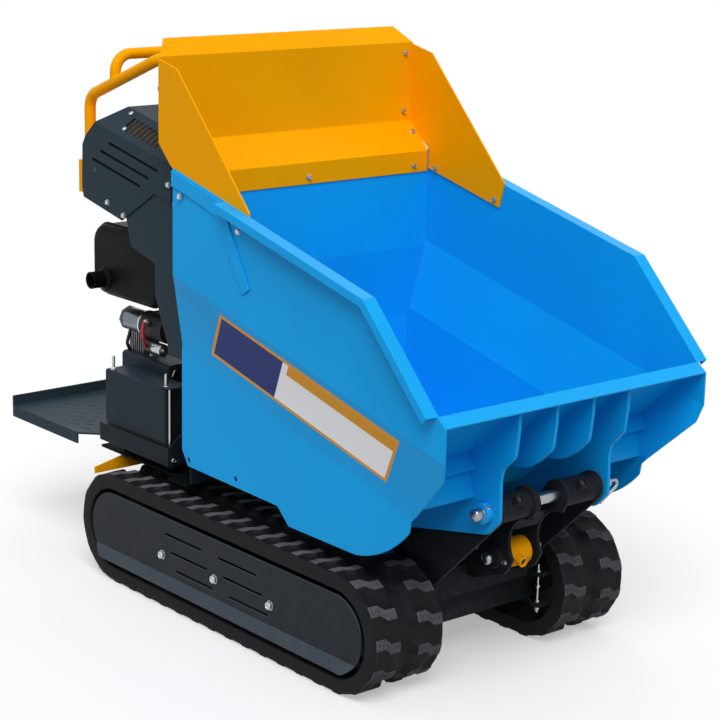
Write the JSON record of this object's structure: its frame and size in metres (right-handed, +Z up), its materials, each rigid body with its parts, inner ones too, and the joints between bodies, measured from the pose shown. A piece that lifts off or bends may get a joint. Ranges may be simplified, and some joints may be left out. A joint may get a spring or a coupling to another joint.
{
  "type": "site dumper",
  "caption": "Compact tracked site dumper with a forward-tipping skip, hinged at its front lip, an engine hood, a control handle and a fold-up standing platform.",
  "frame": {"origin": "on the ground under the middle of the machine's overall box", "axes": "+X forward to the skip's pouring lip, +Y to the machine's left, +Z up"},
  "size_m": [1.636, 0.77, 1.2501],
  "materials": {
    "blue_paint": "satin powder coat",
    "orange_paint": "satin powder coat",
    "dark_paint": "matt powder coat",
    "track_rubber": "moulded",
    "cast_grey": "cast",
    "bright_steel": "ground",
    "black_heat_paint": "matt",
    "battery_plastic": "moulded",
    "starter_alloy": "cast"
  },
  "bodies": {
    "chassis": {"battery": "battery_plastic", "battery_cover": "dark_paint", "battery_tray": "dark_paint", "column_panels": "dark_paint", "control_levers": "dark_paint", "control_panel": "orange_paint", "crossmembers": "dark_paint", "engine_block": "cast_grey", "engine_deck": "dark_paint", "handle_frame": "orange_paint", "hinge_tower": "dark_paint", "hood_panels": "dark_paint", "hydraulic_tank": "dark_paint", "left_drive_motor": "cast_grey", "left_idler": "cast_grey", "left_rollers": "cast_grey", "left_sprocket": "cast_grey", "left_track": "track_rubber", "left_track_cover": "dark_paint", "left_track_frame": "dark_paint", "main_frame": "dark_paint", "muffler": "black_heat_paint", "platform_hinge_rod": "bright_steel", "rear_guard": "orange_paint", "right_drive_motor": "cast_grey", "right_idler": "cast_grey", "right_rollers": "cast_grey", "right_sprocket": "cast_grey", "right_track": "track_rubber", "right_track_cover": "dark_paint", "right_track_frame": "dark_paint", "starter_motor": "starter_alloy", "switch_box": "dark_paint"},
    "tub": {"cross_channel": "blue_paint", "extension_back": "orange_paint", "extension_wings": "orange_paint", "hinge_pin": "bright_steel", "lip_ribs": "blue_paint", "rod_lugs": "blue_paint", "tub_back_wall": "blue_paint", "tub_floor": "blue_paint", "tub_keels": "blue_paint", "tub_left_wall": "blue_paint", "tub_right_wall": "blue_paint", "wall_doublers": "blue_paint"},
    "barrel": {"cylinder_barrel": "orange_paint"},
    "rod": {"cylinder_rod": "bright_steel"},
    "platform": {"platform": "dark_paint"}
  },
  "joints": [
    {"name": "tub_tip", "type": "hinge", "parent": "chassis", "child": "tub", "pos_m": [0.721, 0, 0.401], "axis": [0, 1, 0], "range_deg": [0, 80]},
    {"name": "cylinder_swing", "type": "hinge", "parent": "chassis", "child": "barrel", "pos_m": [0.639, 0, 0.265], "axis": [0, 1, 0], "range_deg": [0, 79]},
    {"name": "rod_slide", "type": "slide", "parent": "barrel", "child": "rod", "axis": [-0.9965, 0, 0.083], "range_m": [0, 0.21]},
    {"name": "platform_fold", "type": "hinge", "parent": "chassis", "child": "platform", "pos_m": [-0.474, 0, 0.282], "axis": [0, 1, 0], "range_deg": [0, 80]}
  ],
  "couplings": [
    {"joint": "cylinder_swing", "follows": "tub_tip", "ratio": 0.9775},
    {"joint": "rod_slide", "follows": "tub_tip", "m_per_rad": 0.14875}
  ]
}
